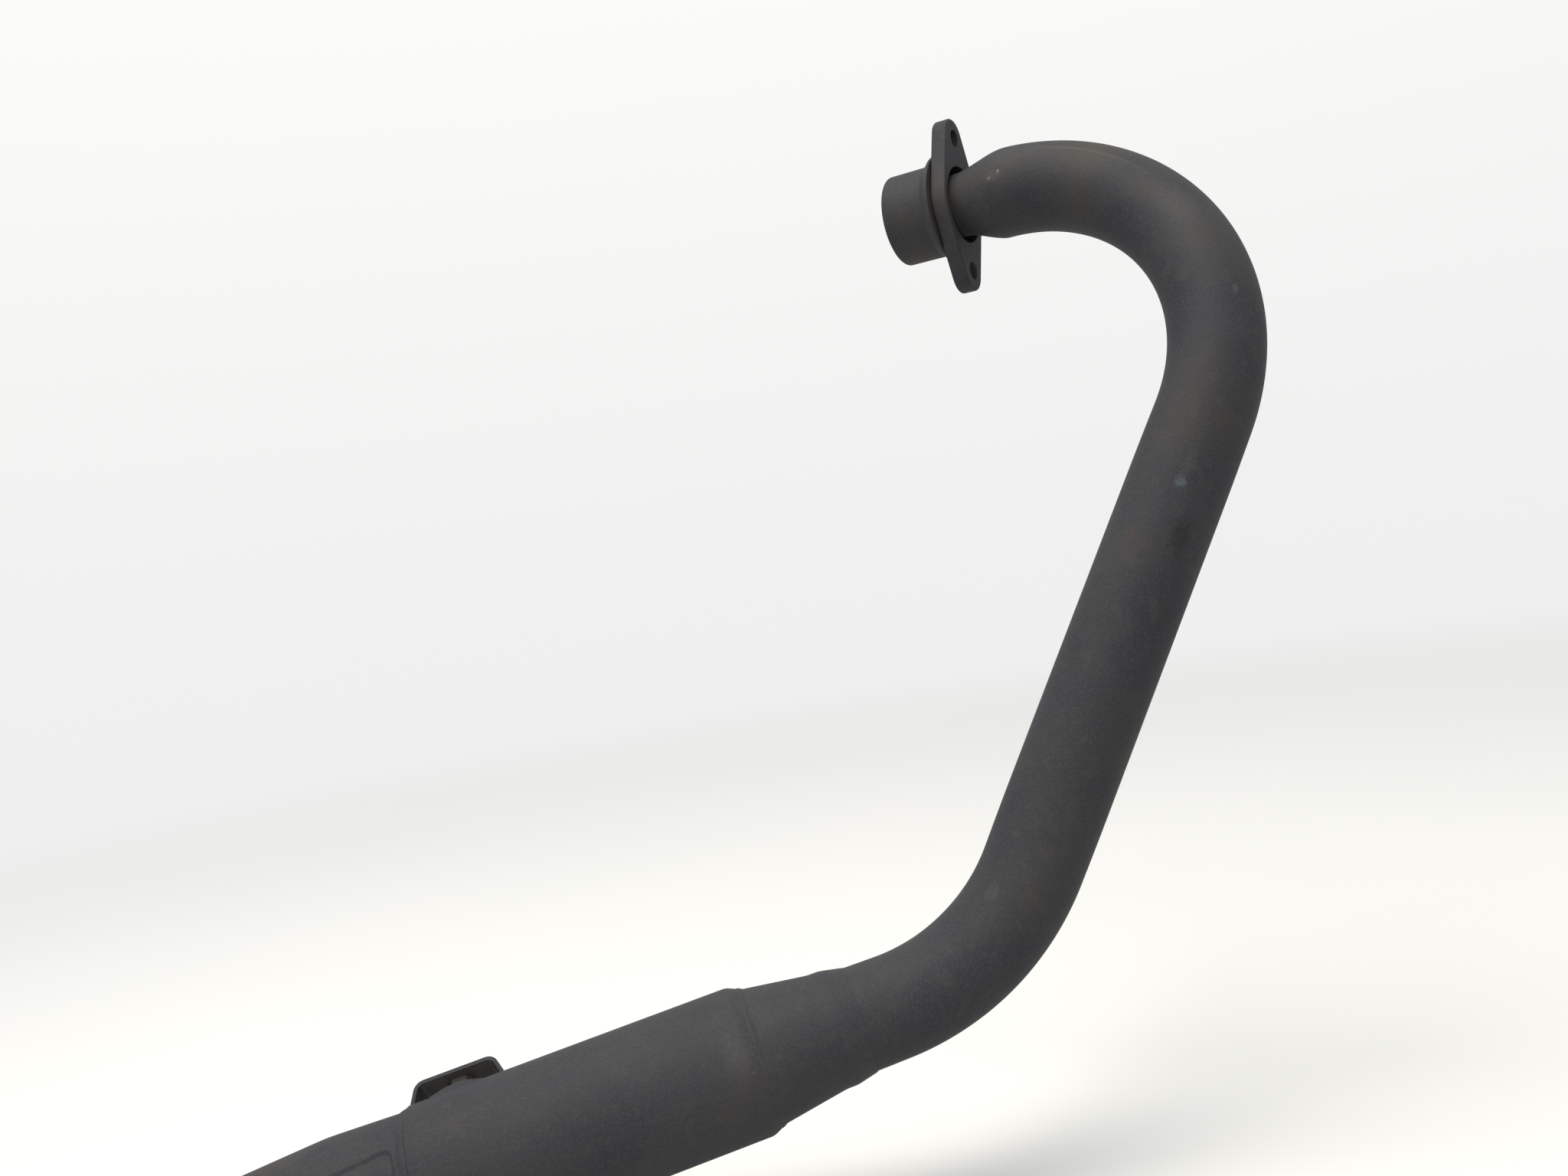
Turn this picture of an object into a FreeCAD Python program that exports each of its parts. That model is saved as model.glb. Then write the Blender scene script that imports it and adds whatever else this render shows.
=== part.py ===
import FreeCAD, Part
import math
import os

Vector = FreeCAD.Vector

# Header tube, bent on one former. A roll turns the bending side about the tube, right-handed,
# and the first one is counted from straight down.
pipe_od = 42.7
pipe_wall = 1.5
bend_radius = 100.0
lead_length = 2.0
first_roll = -22.0
first_bend = 112.5
leg_length = 203.0
second_roll = -40.0
second_bend = 49.0
tail_length = 14.0

# Port end: turned spigot with a 45 degree shoulder, swaged neck of the tube and loose flange.
spigot_od = 45.0
spigot_length = 21.5
spigot_chamfer = 1.0
shoulder_od = 53.0
shoulder_rim = 1.5
neck_od = 31.0
socket_depth = 12.0
neck_length = 8.5
swage_length = 18.0
flange_width = 45.0
flange_thickness = 8.0
flange_bore = 38.0
flange_hole_d = 9.0
flange_hole_spacing = 66.0
flange_lobe_radius = 10.0
flange_edge_radius = 1.2

# Inlet cone: collar over the tube, cone, and skirt inside the can.
collar_wall = 2.0
collar_length = 14.0
cone_length = 34.0
skirt_length = 10.0
pipe_overlap = 16.0

# Front can, rolled over the cone at the front and plain at the back.
can_od = 60.3
can_wall = 1.5
can_length = 138.0
lip_overlap = 4.5
lip_radius = 2.0

# Rear shell, which slides into the can, swells to a crown and tapers to the end. A panel that narrows
# towards the back is stamped into its outer side. Dished end cap and tail pipe.
shell_wall = 1.2
shell_overlap = 10.0
shell_length = 190.0
crown_od = 59.2
crown_length = 33.0
shell_end_od = 40.0
panel_gap = 4.5
panel_length = 120.0
panel_height = 46.0
panel_end_height = 30.0
panel_depth = 1.0
panel_corner = 4.0
panel_roll = 4.0
cap_wall = 1.5
cap_rim = 9.0
cap_corner = 6.0
tail_od = 25.4
tail_wall = 1.5
tail_reach = 34.0
tail_inside = 12.0

# Inside: perforated core, pressed baffles and crossover tubes.
core_wall = 1.2
core_insert = 12.0
core_end = 4.0
core_hole_d = 5.0
core_hole_rings = 5
core_holes_round = 6
core_hole_pitch = 16.0
core_hole_start = 24.0
baffle_wall = 1.5
baffle_rim = 7.0
front_baffle_inset = 24.0
middle_baffle_inset = 75.0
rear_baffle_inset = 60.0
crossover_od = 16.0
crossover_wall = 1.0
crossover_length = 55.0
crossover_lead = 20.0
crossover_offset = 11.5

# Bracket on the inner side, turned up from level: strip bent on two splayed legs, with an M6 weld nut.
strip_thickness = 1.6
hanger_length = 33.0
hanger_width = 20.0
hanger_stand_off = 5.8
hanger_splay = 20.0
hanger_inset = 0.3
hanger_turn = 45.0
hanger_fold_radius = 5.0
hanger_hole_d = 6.5
nut_across_flats = 10.0
nut_height = 3.2
nut_bore_d = 5.0

# Clearances: between welded pieces that slip together, and between the loose flange and its seat.
slip = 0.15
seat_gap = 0.3

# An edge that is shorter than this along a direction lies across it.
flat = 0.001

X_AXIS = Vector(1, 0, 0)
Y_AXIS = Vector(0, 1, 0)
Z_AXIS = Vector(0, 0, 1)


def turned(vector, axis, degrees):
    return FreeCAD.Rotation(axis, degrees).multVec(vector)


def joined(solids):
    return solids[0].multiFuse(solids[1:]).removeSplitter()


def ring(start, end, outer_radius, inner_radius):
    """Straight tube about local X."""
    base = Vector(start, 0, 0)
    outer = Part.makeCylinder(outer_radius, end - start, base, X_AXIS)
    return outer.cut(Part.makeCylinder(inner_radius, end - start, base, X_AXIS))


def revolved(*outline):
    """Solid turned about local X, from (x, radius) corners; a pair of them is an arc's middle and end."""
    edges = []
    first = None
    for entry in outline:
        points = entry if isinstance(entry[0], tuple) else [entry]
        corners = [Vector(x, 0, radius) for x, radius in points]
        if first is None:
            first = corners[0]
        elif len(corners) == 1:
            edges.append(Part.makeLine(here, corners[0]))
        else:
            edges.append(Part.Arc(here, *corners).toShape())
        here = corners[-1]
    edges.append(Part.makeLine(here, first))
    return Part.Face(Part.Wire(edges)).revolve(Vector(), X_AXIS, 360)


def quarter(centre_x, centre_radius, radius, toward_x, toward_radius):
    """Middle point of a quarter round, seen from its centre towards the given signs."""
    reach = radius * math.sqrt(0.5)
    return (centre_x + toward_x * reach, centre_radius + toward_radius * reach)


class Route:
    """Centre line of the header: a place, the tube's direction and the side that it bends towards."""

    def __init__(self, place):
        self.place = place
        self.direction = X_AXIS
        self.side = -Z_AXIS
        self.sweeps = []

    def straight(self, length):
        run = self.direction * length
        self.sweeps.append((self.place, self.direction, lambda section: section.extrude(run)))
        self.place = self.place + run

    def roll(self, degrees):
        self.side = turned(self.side, self.direction, degrees)

    def bend(self, radius, degrees):
        axis = self.direction.cross(self.side)
        centre = self.place + self.side * radius
        self.sweeps.append(
            (self.place, self.direction, lambda section: section.revolve(centre, axis, degrees))
        )
        self.place = centre + turned(self.place - centre, axis, degrees)
        self.direction = turned(self.direction, axis, degrees)
        self.side = turned(self.side, axis, degrees)

    def rod(self, radius):
        """Solid round rod along every straight and bend."""
        rods = []
        for place, direction, sweep in self.sweeps:
            section = Part.Face(Part.Wire(Part.Circle(place, direction, radius).toShape()))
            rods.append(sweep(section))
        return joined(rods)


def port_spigot():
    """Turned sleeve with a sloped shoulder; the tube's neck sits in a socket in its back."""
    rim = seat - shoulder_rim
    slope = rim - (shoulder_od - spigot_od) / 2
    front = slope - spigot_length
    socket = seat - socket_depth
    gas_radius = neck_od / 2 - pipe_wall
    socket_radius = neck_od / 2 + slip
    return revolved(
        (front, gas_radius),
        (front, spigot_od / 2 - spigot_chamfer),
        (front + spigot_chamfer, spigot_od / 2),
        (slope, spigot_od / 2),
        (rim, shoulder_od / 2),
        (seat, shoulder_od / 2),
        (seat, socket_radius),
        (socket, socket_radius),
        (socket, gas_radius),
    )


def port_flange():
    """Plate with a round middle and two bolt lobes, joined by tangents, around a clear bore."""
    reach = flange_hole_spacing / 2
    middle_radius = flange_width / 2
    tangent = math.acos((middle_radius - flange_lobe_radius) / reach)

    def corner(radius, centre, angle):
        return Vector(0, radius * math.sin(angle), centre + radius * math.cos(angle))

    edges = []
    for sign in (1, -1):
        lobe = sign * reach
        turn = 0 if sign > 0 else math.pi
        lobe_start = corner(flange_lobe_radius, lobe, turn - tangent)
        lobe_tip = corner(flange_lobe_radius, lobe, turn)
        lobe_end = corner(flange_lobe_radius, lobe, turn + tangent)
        side_start = corner(middle_radius, 0, turn + tangent)
        side_middle = corner(middle_radius, 0, turn + math.pi / 2)
        side_end = corner(middle_radius, 0, turn + math.pi - tangent)
        edges.append(Part.Arc(lobe_start, lobe_tip, lobe_end).toShape())
        edges.append(Part.makeLine(lobe_end, side_start))
        edges.append(Part.Arc(side_start, side_middle, side_end).toShape())
        next_lobe = corner(flange_lobe_radius, -lobe, turn + math.pi - tangent)
        edges.append(Part.makeLine(side_end, next_lobe))
    plate = Part.Face(Part.Wire(edges)).extrude(X_AXIS * flange_thickness)
    rims = [edge for edge in plate.Edges if edge.BoundBox.XLength < flat]
    plate = plate.makeFillet(flange_edge_radius, rims)
    holes = [Part.makeCylinder(flange_bore / 2, flange_thickness, Vector(), X_AXIS)]
    for sign in (1, -1):
        place = Vector(0, 0, sign * reach)
        holes.append(Part.makeCylinder(flange_hole_d / 2, flange_thickness, place, X_AXIS))
    return plate.cut(holes)


def header_pipe(route):
    """Bent tube whose front end is swaged down to the neck."""
    pipe_radius = pipe_od / 2
    neck_radius = neck_od / 2
    socket = seat - socket_depth
    front = revolved(
        (socket, neck_radius),
        (neck_length, neck_radius),
        (swage_end, pipe_radius),
        (swage_end, pipe_radius - pipe_wall),
        (neck_length, neck_radius - pipe_wall),
        (socket, neck_radius - pipe_wall),
    )
    tube = route.rod(pipe_radius).cut(route.rod(pipe_radius - pipe_wall))
    return joined([front, tube])


# Stations along the port axis, from the flange's port side: the shoulder's back face and the swage's end.
seat = -seat_gap
swage_end = neck_length + swage_length

# Stations along the can, from the collar's front edge.
can_radius = can_od / 2
can_bore = can_radius - can_wall
can_start = collar_length + cone_length - lip_overlap
can_end = can_start + can_length
shell_start = can_end - shell_overlap
shell_end = can_end + shell_length
shell_radius = can_bore - slip
crown_at = can_end + crown_length
crown_radius = crown_od / 2
taper_end = shell_end - cap_rim
shell_end_radius = shell_end_od / 2
core_radius = pipe_od / 2 - pipe_wall - slip
front_baffle_at = can_end - front_baffle_inset
middle_baffle_at = can_end + middle_baffle_inset
rear_baffle_at = shell_end - rear_baffle_inset
tail_radius = tail_od / 2
hanger_web = -can_radius - hanger_stand_off
hanger_lean = math.tan(math.radians(hanger_splay))
hanger_foot = hanger_length / 2 + (hanger_stand_off + strip_thickness) * hanger_lean
hanger_middle = can_end - hanger_inset - hanger_foot


def inlet_cone():
    """Collar that slips over the tube, cone, and skirt that sits in the can."""
    collar_bore = pipe_od / 2 + slip
    skirt_radius = can_bore - slip
    cone_end = collar_length + cone_length
    skirt_end = cone_end + skirt_length
    return revolved(
        (0, collar_bore),
        (0, collar_bore + collar_wall),
        (collar_length, collar_bore + collar_wall),
        (cone_end, skirt_radius),
        (skirt_end, skirt_radius),
        (skirt_end, skirt_radius - collar_wall),
        (cone_end, skirt_radius - collar_wall),
        (collar_length, collar_bore),
    )


def can_shell():
    """Tube with its front edge rolled in over the cone; the rear shell sits in its plain back end."""
    lip_x = can_start + lip_radius
    lip_r = can_radius - lip_radius
    inner = lip_radius - can_wall
    return revolved(
        (can_start, lip_r),
        (quarter(lip_x, lip_r, lip_radius, -1, 1), (lip_x, can_radius)),
        (can_end, can_radius),
        (can_end, can_bore),
        (lip_x, can_bore),
        (quarter(lip_x, lip_r, inner, -1, 1), (lip_x - inner, lip_r)),
    )


def shell_layer(outer, inner):
    """Layer of the rear shell between two depths under its outside."""
    stations = [
        (shell_start, shell_radius),
        (can_end, shell_radius),
        (crown_at, crown_radius),
        (taper_end, shell_end_radius),
        (shell_end, shell_end_radius),
    ]
    outside = [(x, radius - outer) for x, radius in stations]
    inside = [(x, radius - inner) for x, radius in reversed(stations)]
    return revolved(*outside, *inside)


def shell_bore(station):
    """Inside radius of the rear shell at a station of its taper."""
    share = (station - crown_at) / (taper_end - crown_at)
    return crown_radius + share * (shell_end_radius - crown_radius) - shell_wall


def panel_block(grow):
    """Block with rounded corners that stands over the stamped panel, from the axis outwards."""
    start = can_end + panel_gap - grow
    end = can_end + panel_gap + panel_length + grow
    front = panel_height / 2 + grow
    back = panel_end_height / 2 + grow
    corners = [Vector(start, 0, -front), Vector(end, 0, -back), Vector(end, 0, back), Vector(start, 0, front)]
    outline = Part.Face(Part.makePolygon(corners + corners[:1]))
    block = outline.extrude(Y_AXIS * (crown_radius + panel_depth))
    upright = [edge for edge in block.Edges if edge.BoundBox.YLength > flat]
    block = block.makeFillet(panel_corner + grow, upright)
    block.rotate(Vector(), X_AXIS, panel_roll)
    return block


def rear_shell():
    """Thin tapering tube with a sunk panel; the metal under the panel is pressed in by the same depth."""
    tube = shell_layer(0, shell_wall)
    sunk = shell_layer(shell_wall, shell_wall + panel_depth)
    tube = joined([tube, sunk.common(panel_block(shell_wall))])
    cut = shell_layer(-panel_depth, panel_depth)
    return tube.cut(cut.common(panel_block(0)))


def end_cap():
    """Dished cap over the end of the rear shell, with a hole for the tail pipe."""
    bore = shell_end_radius + slip
    outer = bore + cap_wall
    corner_r = outer - cap_corner
    face = shell_end + cap_corner
    hole = tail_radius + slip
    inner_corner = cap_corner - cap_wall
    return revolved(
        (shell_end - cap_rim, bore),
        (shell_end - cap_rim, outer),
        (shell_end, outer),
        (quarter(shell_end, corner_r, cap_corner, 1, 1), (face, corner_r)),
        (face, hole),
        (face - cap_wall, hole),
        (face - cap_wall, corner_r),
        (quarter(shell_end, corner_r, inner_corner, 1, 1), (shell_end, bore)),
    )


def tail_pipe():
    start = rear_baffle_at - tail_inside
    end = shell_end + cap_corner + tail_reach
    return ring(start, end, tail_radius, tail_radius - tail_wall)


def core_tube():
    """Tube in the end of the header, drilled all round inside the can, that ends in the front baffle."""
    start = pipe_overlap - core_insert
    tube = ring(start, front_baffle_at + baffle_wall + core_end, core_radius, core_radius - core_wall)
    drills = []
    for row in range(core_hole_rings):
        station = can_start + core_hole_start + row * core_hole_pitch
        for hole in range(core_holes_round):
            drill = Part.makeCylinder(core_hole_d / 2, core_radius + slip, Vector(station, 0, 0), Z_AXIS)
            drill.rotate(Vector(), X_AXIS, (hole + row % 2 / 2) * 360 / core_holes_round)
            drills.append(drill)
    return tube.cut(drills)


def baffle(station, seat_radius, holes):
    """Pressed disc with a rim; each hole is a height on the disc and a radius."""
    outer = seat_radius - slip
    disc = Part.makeCylinder(outer, baffle_wall, Vector(station, 0, 0), X_AXIS)
    rim = ring(station, station + baffle_rim, outer, outer - baffle_wall)
    plate = joined([disc, rim])
    for height, radius in holes:
        place = Vector(station, 0, height)
        plate = plate.cut(Part.makeCylinder(radius + slip, baffle_wall, place, X_AXIS))
    return plate


def shell_baffle(station, holes):
    """Baffle for the rear shell that fits at its rim's end, notched where the stamped panel stands in."""
    bore = shell_bore(station + baffle_rim)
    notch = ring(station, station + baffle_rim, bore, bore - panel_depth - slip)
    notch = notch.common(panel_block(shell_wall + slip))
    return baffle(station, bore, holes).cut(notch)


def crossover_tubes():
    start = middle_baffle_at - crossover_lead
    tube = ring(start, start + crossover_length, crossover_od / 2, crossover_od / 2 - crossover_wall)
    return Part.makeCompound([tube.translated(Z_AXIS * height) for height in crossover_heights])


def turned_up(shape):
    """Bracket piece, from the level inner side to its place on the can."""
    return shape.rotated(Vector(), X_AXIS, -hanger_turn)


def hanger_bracket():
    """Strip folded to a web on two splayed legs, whose ends follow the can."""

    def folded(length, face, radius):
        """Block from the web's given face to the can's axis, rounded where the strip is folded."""
        spread = length / 2 - face * hanger_lean
        outline = [(-length / 2, face), (length / 2, face), (spread, 0), (-spread, 0)]
        corners = [Vector(hanger_middle + x, y, -hanger_width / 2) for x, y in outline]
        block = Part.Face(Part.makePolygon(corners + corners[:1])).extrude(Z_AXIS * hanger_width)
        upright = [edge for edge in block.Edges if edge.BoundBox.ZLength > flat]
        return block.makeFillet(radius, [edge for edge in upright if edge.CenterOfMass.y < face / 2])

    strip = folded(hanger_length, hanger_web - strip_thickness, hanger_fold_radius)
    leg_thickness = strip_thickness / math.cos(math.radians(hanger_splay))
    inside_length = hanger_length - 2 * (leg_thickness - strip_thickness * hanger_lean)
    hollow = folded(inside_length, hanger_web, hanger_fold_radius - strip_thickness)
    can = Part.makeCylinder(can_radius + slip, shell_end - can_start, Vector(can_start, 0, 0), X_AXIS)
    hole_place = Vector(hanger_middle, hanger_web, 0)
    hole = Part.makeCylinder(hanger_hole_d / 2, strip_thickness, hole_place, -Y_AXIS)
    return turned_up(strip.cut([hollow, can, hole]))


def hanger_nut():
    """Hexagon nut on the can side of the web."""
    corner = X_AXIS * (nut_across_flats / 2 / math.cos(math.pi / 6))
    hexagon = Part.makePolygon([turned(corner, Y_AXIS, 60 * side) for side in range(7)])
    nut = Part.Face(hexagon).extrude(Y_AXIS * nut_height)
    nut = nut.cut(Part.makeCylinder(nut_bore_d / 2, nut_height, Vector(), Y_AXIS))
    return turned_up(nut.translated(Vector(hanger_middle, hanger_web, 0)))


crossover_heights = (crossover_offset, -crossover_offset)

route = Route(Vector(swage_end, 0, 0))
route.roll(first_roll)
route.straight(lead_length)
route.bend(bend_radius, first_bend)
route.straight(leg_length)
route.roll(second_roll)
route.bend(bend_radius, second_bend)
route.straight(tail_length)
collar_front = route.place
can_axis = route.direction
route.straight(pipe_overlap)

# Local frame of the can: X along it, Z upwards, Y towards its outer side.
can_up = Z_AXIS - can_axis * Z_AXIS.dot(can_axis)
can_frame = FreeCAD.Placement(collar_front, FreeCAD.Rotation(can_axis, Vector(), can_up, "XZY"))

port_nodes = {
    "port_spigot": port_spigot(),
    "port_flange": port_flange(),
    "header_pipe": header_pipe(route),
}
crossings = [(height, crossover_od / 2) for height in crossover_heights]
can_nodes = {
    "inlet_cone": inlet_cone(),
    "can_shell": can_shell(),
    "hanger_bracket": hanger_bracket(),
    "hanger_nut": hanger_nut(),
    "rear_shell": rear_shell(),
    "end_cap": end_cap(),
    "tail_pipe": tail_pipe(),
    "core_tube": core_tube(),
    "front_baffle": baffle(front_baffle_at, can_bore, [(0, core_radius)]),
    "middle_baffle": shell_baffle(middle_baffle_at, crossings),
    "rear_baffle": shell_baffle(rear_baffle_at, [(0, tail_radius)]),
    "crossover_tubes": crossover_tubes(),
}
for shape in can_nodes.values():
    shape.Placement = can_frame.multiply(shape.Placement)

os.makedirs("parts", exist_ok=True)
for node, shape in {**port_nodes, **can_nodes}.items():
    shape.exportStep("parts/" + node + ".step")
    print(node, "solids", len(shape.Solids), "valid", shape.isValid(), "volume", round(shape.Volume), "mm3")
print("collar front", collar_front, "can axis", can_axis, "can up", can_up)
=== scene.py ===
# %% [markdown]
# # A motorcycle muffler, dressed
# The solids of the muffler are already drawn, in metres, with the exhaust port at the origin. This lesson
# loads them as a fixed frame and then gives them their looks: smoother metal where the real tube is drawn
# and bent, weld beads where the pieces are joined, and worn black heat paint over all of it.

# %% Load the solids
import math

import bpy
import numpy as np
from mathutils import Matrix, Vector


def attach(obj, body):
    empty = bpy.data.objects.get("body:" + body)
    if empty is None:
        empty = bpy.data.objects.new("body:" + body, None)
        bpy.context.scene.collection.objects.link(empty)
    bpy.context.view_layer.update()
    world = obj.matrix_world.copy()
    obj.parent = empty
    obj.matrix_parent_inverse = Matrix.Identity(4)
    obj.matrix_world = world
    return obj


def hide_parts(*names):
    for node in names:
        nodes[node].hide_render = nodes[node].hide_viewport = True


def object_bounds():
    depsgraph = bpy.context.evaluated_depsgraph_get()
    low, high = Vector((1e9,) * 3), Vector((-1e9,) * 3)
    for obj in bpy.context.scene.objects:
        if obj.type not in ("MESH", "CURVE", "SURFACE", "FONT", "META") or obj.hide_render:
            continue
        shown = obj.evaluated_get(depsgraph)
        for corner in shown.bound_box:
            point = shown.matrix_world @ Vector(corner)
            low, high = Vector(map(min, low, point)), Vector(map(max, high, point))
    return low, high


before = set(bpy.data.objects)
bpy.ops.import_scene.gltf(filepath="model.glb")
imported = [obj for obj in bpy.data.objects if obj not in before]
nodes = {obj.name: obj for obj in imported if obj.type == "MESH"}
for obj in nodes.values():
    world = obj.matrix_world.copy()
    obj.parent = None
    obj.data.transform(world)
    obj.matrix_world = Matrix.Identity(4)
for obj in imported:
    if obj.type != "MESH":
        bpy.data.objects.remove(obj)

cad_low, cad_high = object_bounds()
print("solids:", ", ".join(sorted(nodes)))
print("box in mm:", [round(1000 * value) for value in (*cad_low, *cad_high)])

# %% [markdown]
# ## The camera
# The picture was taken from the outer side, about as high as the middle of the pipe, with the muffler
# leaning a little in the frame. A camera is a place and three directions, so the turn is written as a
# matrix of its right, up and backward directions instead of three angles that nobody can check by eye.

# %% Camera
PHOTO_WIDTH, FOCAL_PIXELS = 2048, 1870.0
SENSOR_WIDTH, NEAREST = 36.0, 0.01
CAMERA_PLACE = Vector((0.2691, -0.6768, -0.1603))
CAMERA_FORWARD = Vector((-0.5053, 0.8627, -0.0212)).normalized()
CAMERA_UP = Vector((0.1171, 0.0928, 0.9888)).normalized()

camera_right = CAMERA_FORWARD.cross(CAMERA_UP)
camera_data = bpy.data.cameras.new("camera")
camera_data.sensor_width = SENSOR_WIDTH
camera_data.lens = SENSOR_WIDTH * FOCAL_PIXELS / PHOTO_WIDTH
camera_data.clip_start = NEAREST
camera = bpy.data.objects.new("camera", camera_data)
camera.matrix_world = Matrix.LocRotScale(
    CAMERA_PLACE,
    Matrix((camera_right, CAMERA_UP, -CAMERA_FORWARD)).transposed(),
    None,
)
scene = bpy.context.scene
scene.collection.objects.link(camera)
scene.camera = camera
print("lens:", round(camera_data.lens, 2), "mm")

# %% [markdown]
# ## Surfaces from grids
# Every new piece here is a skin that closes on itself both ways, like a ring: a tube goes out along its
# outside and comes back along its inside. Modifiers could thicken and sweep such skins, but a grid of
# computed points keeps every size in sight. One helper turns a grid into a mesh. It also stores, for each
# corner, how far along and how far around the metal it lies, in metres. Marks in the paint are placed with
# those two lengths, as one would with a tape on the real pipe.

# %% Mesh from a closed grid
TAPE = "tape"


def ring_grid_piece(name, points, along, around, stands_for=()):
    """Quads between neighbours of an n by m grid that wraps round both ways.

    along has n + 1 lengths and around m + 1, so the last quad of each loop gets its own far corner.
    The faces are turned over if the volume, the sum of a . (b x c) over all faces, comes out negative.
    """
    rows, columns = points.shape[:2]
    row, column = np.meshgrid(np.arange(rows), np.arange(columns), indexing="ij")
    corner_row = np.stack([row, row + 1, row + 1, row], -1).reshape(-1, 4)
    corner_column = np.stack([column, column, column + 1, column + 1], -1).reshape(-1, 4)
    faces = corner_row % rows * columns + corner_column % columns
    flat = points.reshape(-1, 3)
    a, b, c, d = (flat[faces[:, k]] for k in range(4))
    volume = np.sum(a * np.cross(b, c)) + np.sum(a * np.cross(c, d))
    if volume < 0:
        faces, corner_row, corner_column = (grid[:, ::-1] for grid in (faces, corner_row, corner_column))

    mesh = bpy.data.meshes.new(name)
    mesh.from_pydata(flat.tolist(), [], faces.tolist())
    mesh.polygons.foreach_set("use_smooth", np.ones(len(faces), bool))
    layer = mesh.uv_layers.new(name=TAPE)
    tape = np.stack([along[corner_row], around[corner_column]], -1)
    layer.data.foreach_set("uv", tape.astype(np.float32).ravel())
    mesh.update()

    piece = bpy.data.objects.new(name, mesh)
    scene.collection.objects.link(piece)
    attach(piece, "muffler")
    if stands_for:
        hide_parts(*stands_for)
    print(name, "has", len(faces), "quads")
    return piece


print("the lengths along and around the metal are kept in the layer", TAPE)

# %% [markdown]
# ## The header pipe
# A header is one length of tube: its front is swaged down to a neck, and it is then bent twice round the
# same former, with the tube turned in the machine between the bends. A curve with a round bevel would draw
# a plain tube, but it can't go oval in a bend, so the rings are computed. The centre line comes first, as
# runs and arcs. A frame is carried along it without twisting, so that an angle about the tube means the
# same thing all the way.


# %% A bent centre line
def turned(vector, axis, angle):
    """Turned about an axis: v cos t + (axis x v) sin t + axis (axis . v)(1 - cos t), for an array of t."""
    angle = np.asarray(angle, float)[..., None]
    swing = vector * np.cos(angle) + np.cross(axis, vector) * np.sin(angle)
    return swing + axis * np.dot(axis, vector) * (1 - np.cos(angle))


class CentreLine:
    """Stations of a bent tube: distance, place, direction and the two directions across it."""

    def __init__(self, place, direction, down):
        self.place = np.array(place, float)
        self.axes = [np.array(direction, float), np.array(down, float)]
        self.axes.append(np.cross(*self.axes))
        self.length = 0.0
        self.bends = []
        self.rows = []

    def straight(self, length, count):
        """Place plus t times the direction; the frame stays as it is."""
        t = np.linspace(0, length, count, endpoint=False)[:, None]
        fixed = [np.broadcast_to(axis, (count, 3)) for axis in self.axes]
        self.rows.append(np.hstack([self.length + t, self.place + t * self.axes[0], *fixed]))
        self.place = self.place + length * self.axes[0]
        self.length += length

    def bend(self, radius, angle, roll, count):
        """The place and the frame, turned about the former's axis; roll says which way the former lies."""
        side = math.cos(roll) * self.axes[1] + math.sin(roll) * self.axes[2]
        hinge = np.cross(self.axes[0], side)
        centre = self.place + radius * side
        t = np.linspace(0, angle, count, endpoint=False)
        frames = [turned(axis, hinge, t) for axis in self.axes]
        places = centre + turned(self.place - centre, hinge, t)
        self.rows.append(np.hstack([self.length + radius * t[:, None], places, *frames]))
        self.place = centre + turned(self.place - centre, hinge, angle)
        self.axes = [turned(axis, hinge, angle) for axis in self.axes]
        self.bends.append((self.length, self.length + radius * angle, roll))
        self.length += radius * angle


X_AXIS, Z_AXIS = np.array([1.0, 0, 0]), np.array([0, 0, 1.0])
print("a quarter turn about z takes x to", turned(X_AXIS, Z_AXIS, math.pi / 2).round(3))

# %% [markdown]
# The real bends and runs follow, in the order in which the gas meets them. The collar of the muffler grips
# the last few millimetres, so the place and the direction there are kept for everything behind it.

# %% Centre line of the header, in metres
NECK_START, SWAGE_END, LEAD_LENGTH = -0.0123, 0.0265, 0.002
BEND_RADIUS, LEG_LENGTH = 0.100, 0.203
FIRST_ROLL, FIRST_BEND = math.radians(-22.0), math.radians(112.5)
SECOND_ROLL, SECOND_BEND = math.radians(-40.0), math.radians(49.0)
TAIL_LENGTH, PIPE_OVERLAP = 0.014, 0.016
SWAGE_RINGS, LEAD_RINGS, LEG_RINGS, TAIL_RINGS = 40, 2, 60, 8
FIRST_RINGS, SECOND_RINGS = 90, 44

header_line = CentreLine((NECK_START, 0, 0), (1, 0, 0), (0, 0, -1))
header_line.straight(SWAGE_END - NECK_START, SWAGE_RINGS)
header_line.straight(LEAD_LENGTH, LEAD_RINGS)
header_line.bend(BEND_RADIUS, FIRST_BEND, FIRST_ROLL, FIRST_RINGS)
header_line.straight(LEG_LENGTH, LEG_RINGS)
header_line.bend(BEND_RADIUS, SECOND_BEND, FIRST_ROLL + SECOND_ROLL, SECOND_RINGS)
header_line.straight(TAIL_LENGTH, TAIL_RINGS)
collar_front = header_line.place.copy()
can_axis = header_line.axes[0].copy()
header_line.straight(PIPE_OVERLAP, TAIL_RINGS)
print("header runs", round(header_line.length * 1000), "mm along its centre line")

# %% [markdown]
# The skin of the header is a ring of points at each station. Its radius grows over the swage. In a bend the
# outer wall is pulled flat, and the tube becomes slightly oval, so the radius also depends on the angle.

# %% Header skin
PIPE_RADIUS, PIPE_WALL = 0.02135, 0.0015
NECK_RADIUS, NECK_END = 0.0155, 0.0085
BEND_OVAL, OVAL_RAMP = 0.03, 0.030
SWAGE_STRETCH = 0.008
AROUND = 96


def smooth_step(value):
    """3 t^2 - 2 t^3, with t held between 0 and 1."""
    t = np.clip(value, 0, 1)
    return t * t * (3 - 2 * t)


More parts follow.
